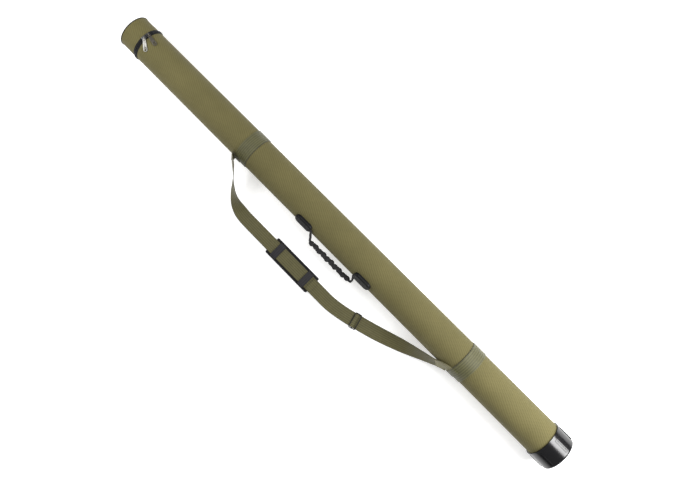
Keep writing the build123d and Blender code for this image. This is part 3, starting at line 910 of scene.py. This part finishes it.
handle = {"droop": -57.0, "reach": 0.040, "lobes": 10, "lobe": (0.0088, 0.0080, 0.0076),
          "tilt": 8, "roll": 12, "offset": 0.0007, "taper": 0.12, "crease": 0.16,
          "creaseWide": 0.0012, "waist": 0.18, "small": (0.66, 0.72, 0.84), "smallTilt": -24,
          "smallOffset": 0.0012, "tailWide": 0.0050, "tailThick": 0.0044}
hinge = Vector(joints["handle_swing"]["pos_m"])
droopDir = Vector((0, cos(radians(handle["droop"])), sin(radians(handle["droop"]))))
handleAway = Vector((1, 0, 0)).cross(droopDir)
handleTurn = Matrix((Vector((1, 0, 0)), droopDir, handleAway)).transposed().to_4x4()
handleFrame = Matrix.Translation((0, hinge.y, hinge.z)) @ handleTurn
gripLow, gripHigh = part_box("handle_grip")
bpy.ops.mesh.primitive_uv_sphere_add(segments=24, ring_count=16, radius=1)
lobe = bpy.context.object
lobe.scale = handle["lobe"]
settle(lobe)
# a crease along each lobe, as between two plaits
for v in lobe.data.vertices:
    v.co.z *= 1 - handle["crease"] * exp(-(v.co.y / handle["creaseWide"]) ** 2)
    v.co.x *= 1 - handle["waist"] * (abs(v.co.y) / handle["lobe"][1]) ** 2
made = []
pitch = (gripHigh[0] - gripLow[0]) / handle["lobes"]
# the plait lies with its broad side up
level = Matrix.Rotation(radians(-handle["droop"]), 4, "X")
middleLobe = (handle["lobes"] - 1) / 2
for i in range(handle["lobes"]):
    flip = 1 if i % 2 else -1
    grown = 1 - handle["taper"] * abs(i - middleLobe) / middleLobe
    spot = Matrix.Translation((gripLow[0] + (i + 0.5) * pitch, handle["reach"], 0)) @ level
    made.append(copyOf(lobe, handleFrame @ spot
                       @ Matrix.Translation((0, flip * handle["offset"], 0))
                       @ Matrix.Rotation(radians(handle["tilt"]), 4, "Z")
                       @ Matrix.Rotation(radians(flip * handle["roll"]), 4, "X")
                       @ Matrix.Diagonal((1, grown, grown, 1))))
    if i:
        spot = Matrix.Translation((gripLow[0] + i * pitch, handle["reach"], 0)) @ level
        made.append(copyOf(lobe, handleFrame @ spot
                           @ Matrix.Translation((0, -flip * handle["smallOffset"], 0))
                           @ Matrix.Rotation(radians(handle["smallTilt"]), 4, "Z")
                           @ Matrix.Diagonal((*handle["small"], 1))))
bpy.data.objects.remove(lobe)
grip = join("handle_plait", made)
smooth(grip, 80)
grip.data.materials.append(gripCord)
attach(grip, "handle")
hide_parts("handle_grip")

clipUpper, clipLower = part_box("handle_clip_upper"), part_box("handle_clip_lower")
tails = {"upper": [(clipUpper[0][0] + 0.010, 0.0), (clipUpper[0][0] - 0.002, 0.0),
                   (clipUpper[0][0] - 0.0040, 0.0035), (clipUpper[0][0] - 0.0070, 0.013),
                   (gripHigh[0] + 0.0045, 0.026), (gripHigh[0] + 0.0030, 0.035),
                   (gripHigh[0] - 0.0010, 0.0395), (gripHigh[0] - 0.008, 0.040)],
         "lower": [(clipLower[1][0] - 0.010, 0.0), (clipLower[1][0] - 0.001, 0.0),
                   (clipLower[1][0] + 0.0005, 0.004), (clipLower[1][0] - 0.004, 0.014),
                   (gripLow[0] - 0.0060, 0.026), (gripLow[0] - 0.0070, 0.035),
                   (gripLow[0] - 0.0030, 0.0395), (gripLow[0] + 0.005, 0.040)]}
for end, route in tails.items():
    line = smoothLine(end + "TailLine", [handleFrame @ Vector((x, y, 0)) for x, y in route], 10)
    tailBit = ribbon(f"handle_tail_{end}", line, [handleAway] * len(line), handle["tailWide"],
                     handle["tailThick"], 4, mat=gripCord)
    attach(tailBit, "handle")
    if end == "upper":
        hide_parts("handle_core")
print("carry handle")


# hinge cloth: one strip across the seam where the lid turns

hingeCloth = {"columns": 28, "rows": 10, "sweep": 78.0, "reach": 0.0085, "thick": 0.0009,
              "lift": 0.00065}
seam = joints["lid_hinge"]["pos_m"][0]
bpy.ops.mesh.primitive_grid_add(x_subdivisions=hingeCloth["rows"],
                                y_subdivisions=hingeCloth["columns"], size=1)
flap = bpy.context.object
flap.name = "hinge_cloth"
for v in flap.data.vertices:
    a = radians(270 + v.co.y * hingeCloth["sweep"])
    r = sleeveR + hingeCloth["lift"]
    v.co = Vector((seam + v.co.x * 2 * hingeCloth["reach"], r * cos(a), r * sin(a)))
solid = flap.modifiers.new("thickness", "SOLIDIFY")
solid.thickness, solid.offset = hingeCloth["thick"], 0
applyAll(flap)
fixNormals(flap)
smooth(flap, 60)
flap.data.materials.append(sleeveCloth)
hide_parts("hinge_flap_case", "hinge_flap_lid")
seam - 0.003
seam + 0.003
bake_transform(flap)
print("hinge cloth")


# the frame's own pieces get their finishes

finishes = [(sleeveCloth, ["fabric_sleeve", "lid_cover"]),
            (bandWebbing, ["upper_band", "lower_band"]),
            (capPlastic, ["end_cap"]),
            (clipPlastic, ["handle_clip_upper", "handle_clip_lower"]),
            (pipePlastic, ["inner_tube", "lid_ring", "lid_disc"]),
            (liningFoam, ["base_foam", "lid_foam"]),
            (tapeCloth, ["zip_tape_case", "zip_tape_lid"]),
            (sliderSteel, ["zip_stops", "zip_slider_front", "zip_slider_rear"]),
            (pipingRubber, ["lid_piping"]), (wireBlack, ["triglide"]),
            (rivetMetal, ["handle_rivets"])]
for finish, names in finishes:
    for name in names:
        for slot in nodes[name].material_slots:
            slot.material = finish
print("finishes on the frame's pieces")
